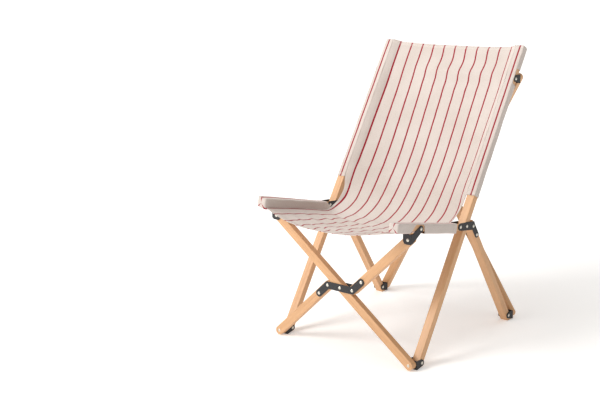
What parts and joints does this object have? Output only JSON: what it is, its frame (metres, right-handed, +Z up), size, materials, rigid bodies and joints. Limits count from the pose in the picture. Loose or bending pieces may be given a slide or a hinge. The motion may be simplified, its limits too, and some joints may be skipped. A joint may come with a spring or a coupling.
{
  "type": "folding camp chair",
  "caption": "Folding wooden camp chair: two side frames, front and rear scissor crosses on metal brackets, and a striped canvas sling.",
  "frame": {"origin": "middle of the floor below the chair", "axes": "+Z up; the chair faces -Y; its left side, as its sitter has it, is +X"},
  "size_m": [0.5358, 0.6816, 0.8546],
  "materials": {
    "wood": "satin",
    "metalwork": "textured",
    "rivets": "satin",
    "washers": "matte",
    "canvas": "matte"
  },
  "bodies": {
    "left_foot": {"left_foot_bracket": "metalwork", "left_foot_rivets": "rivets"},
    "left_post": {"left_post": "wood", "left_post_sleeve": "canvas", "back_panel": "canvas"},
    "left_leg": {"left_leg": "wood", "left_outer_plate": "metalwork", "left_inner_plate": "metalwork", "left_side_rivets": "rivets", "left_side_washers": "washers"},
    "left_rail": {"left_rail": "wood", "left_rail_sleeve": "canvas", "seat_panel": "canvas"},
    "left_bracket": {"left_rail_bracket": "metalwork", "left_rail_bracket_rivet": "rivets"},
    "front_half_sticks": {"front_lower_stick": "wood", "front_upper_stick": "wood", "front_centre_plate_outer": "metalwork", "front_centre_plate_inner": "metalwork", "front_centre_rivets": "rivets", "front_centre_washers": "washers", "front_half_end_rivets": "rivets"},
    "front_long_stick": {"front_long_stick": "wood", "front_long_end_rivets": "rivets"},
    "right_bracket": {"right_rail_bracket": "metalwork", "right_rail_bracket_rivet": "rivets"},
    "right_rail": {"right_rail": "wood", "right_rail_sleeve": "canvas"},
    "right_leg": {"right_leg": "wood", "right_outer_plate": "metalwork", "right_inner_plate": "metalwork", "right_side_rivets": "rivets", "right_side_washers": "washers"},
    "right_post": {"right_post": "wood", "right_post_sleeve": "canvas"},
    "right_foot": {"right_foot_bracket": "metalwork", "right_foot_rivets": "rivets"},
    "left_heel": {"left_heel_bracket": "metalwork", "left_heel_rivets": "rivets"},
    "right_heel": {"right_heel_bracket": "metalwork", "right_heel_rivets": "rivets"},
    "left_back": {"left_back_bracket": "metalwork", "left_back_rivets": "rivets"},
    "right_back": {"right_back_bracket": "metalwork", "right_back_rivets": "rivets"},
    "rear_long_stick": {"rear_long_stick": "wood", "rear_long_end_rivets": "rivets"},
    "rear_half_sticks": {"rear_lower_stick": "wood", "rear_upper_stick": "wood", "rear_centre_plate_outer": "metalwork", "rear_centre_plate_inner": "metalwork", "rear_centre_rivets": "rivets", "rear_centre_washers": "washers", "rear_half_end_rivets": "rivets"}
  },
  "joints": [
    {"name": "left_fold", "type": "hinge", "parent": "left_post", "child": "left_leg", "pos_m": [0.25, -0.00634, 0.36178], "axis": [-1, 0, 0], "range_deg": [0, 63.7], "deforming": ["back_panel", "seat_panel"]},
    {"name": "left_foot_pivot", "type": "hinge", "parent": "left_foot", "child": "left_post", "pos_m": [0.25, -0.24536, 0.014], "axis": [1, 0, 0], "range_deg": [0, 27.76]},
    {"name": "left_rail_pivot", "type": "hinge", "parent": "left_leg", "child": "left_rail", "pos_m": [0.25, -0.03893, 0.36694], "axis": [1, 0, 0], "range_deg": [-41.7, 0]},
    {"name": "left_rail_bracket_pivot", "type": "hinge", "parent": "left_rail", "child": "left_bracket", "pos_m": [0.25, -0.23211, 0.40801], "axis": [1, 0, 0], "range_deg": [0, 77.68]},
    {"name": "front_half_swing", "type": "hinge", "parent": "left_bracket", "child": "front_half_sticks", "pos_m": [0.25, -0.26235, 0.38345], "axis": [0, -0.9988, 0.0488], "range_deg": [0, 45.32]},
    {"name": "front_centre_pivot", "type": "hinge", "parent": "front_half_sticks", "child": "front_long_stick", "pos_m": [0, -0.27133, 0.19958], "axis": [0, -0.9988, 0.0488], "range_deg": [-90.6, 0]},
    {"name": "front_long_swing", "type": "hinge", "parent": "front_long_stick", "child": "right_bracket", "pos_m": [-0.25, -0.26235, 0.38345], "axis": [0, -0.9988, 0.0488], "range_deg": [0, 45.32]},
    {"name": "right_rail_bracket_pivot", "type": "hinge", "parent": "right_bracket", "child": "right_rail", "pos_m": [-0.25, -0.23211, 0.40801], "axis": [1, 0, 0], "range_deg": [-77.68, 0]},
    {"name": "right_rail_pivot", "type": "hinge", "parent": "right_rail", "child": "right_leg", "pos_m": [-0.25, -0.03893, 0.36694], "axis": [1, 0, 0], "range_deg": [0, 41.7]},
    {"name": "right_fold", "type": "hinge", "parent": "right_leg", "child": "right_post", "pos_m": [-0.25, -0.00634, 0.36178], "axis": [-1, 0, 0], "range_deg": [-63.75, 0]},
    {"name": "right_foot_pivot", "type": "hinge", "parent": "right_post", "child": "right_foot", "pos_m": [-0.25, -0.24536, 0.014], "axis": [1, 0, 0], "range_deg": [-27.76, 0]},
    {"name": "left_heel_pivot", "type": "hinge", "parent": "left_leg", "child": "left_heel", "pos_m": [0.25, 0.21553, 0.017], "axis": [1, 0, 0], "range_deg": [0, 34.84]},
    {"name": "right_heel_pivot", "type": "hinge", "parent": "right_leg", "child": "right_heel", "pos_m": [-0.25, 0.21553, 0.017], "axis": [1, 0, 0], "range_deg": [0, 34.84]},
    {"name": "left_back_pivot", "type": "hinge", "parent": "left_post", "child": "left_back", "pos_m": [0.25, 0.26684, 0.75925], "axis": [1, 0, 0], "range_deg": [-28.96, 0]},
    {"name": "right_back_pivot", "type": "hinge", "parent": "right_post", "child": "right_back", "pos_m": [-0.25, 0.26684, 0.75925], "axis": [1, 0, 0], "range_deg": [-28.96, 0]},
    {"name": "rear_long_swing", "type": "hinge", "parent": "left_heel", "child": "rear_long_stick", "pos_m": [0.25, 0.25045, 0.01459], "axis": [0, -0.9976, 0.069], "range_deg": [-28.17, 0]},
    {"name": "rear_centre_pivot", "type": "hinge", "parent": "rear_long_stick", "child": "rear_half_sticks", "pos_m": [0, 0.2761, 0.38571], "axis": [0, -0.9976, 0.069], "range_deg": [0, 56.3]}
  ],
  "couplings": [
    {"joint": "left_foot_pivot", "follows": "left_fold", "ratio": 0.4351},
    {"joint": "left_rail_pivot", "follows": "left_fold", "ratio": -0.65392},
    {"joint": "left_rail_bracket_pivot", "follows": "left_fold", "ratio": 1.2188},
    {"joint": "front_half_swing", "follows": "left_fold", "ratio": 0.71079},
    {"joint": "front_centre_pivot", "follows": "left_fold", "ratio": -1.4216},
    {"joint": "front_long_swing", "follows": "left_fold", "ratio": 0.71079},
    {"joint": "right_rail_bracket_pivot", "follows": "left_fold", "ratio": -1.2188},
    {"joint": "right_rail_pivot", "follows": "left_fold", "ratio": 0.65392},
    {"joint": "right_fold", "follows": "left_fold", "ratio": -1},
    {"joint": "right_foot_pivot", "follows": "left_fold", "ratio": -0.4351},
    {"joint": "left_heel_pivot", "follows": "left_fold", "ratio": 0.54616},
    {"joint": "right_heel_pivot", "follows": "left_fold", "ratio": 0.54616},
    {"joint": "left_back_pivot", "follows": "left_fold", "ratio": -0.45384},
    {"joint": "right_back_pivot", "follows": "left_fold", "ratio": -0.45384},
    {"joint": "rear_long_swing", "follows": "left_fold", "ratio": -0.44151},
    {"joint": "rear_centre_pivot", "follows": "left_fold", "ratio": 0.88302}
  ]
}
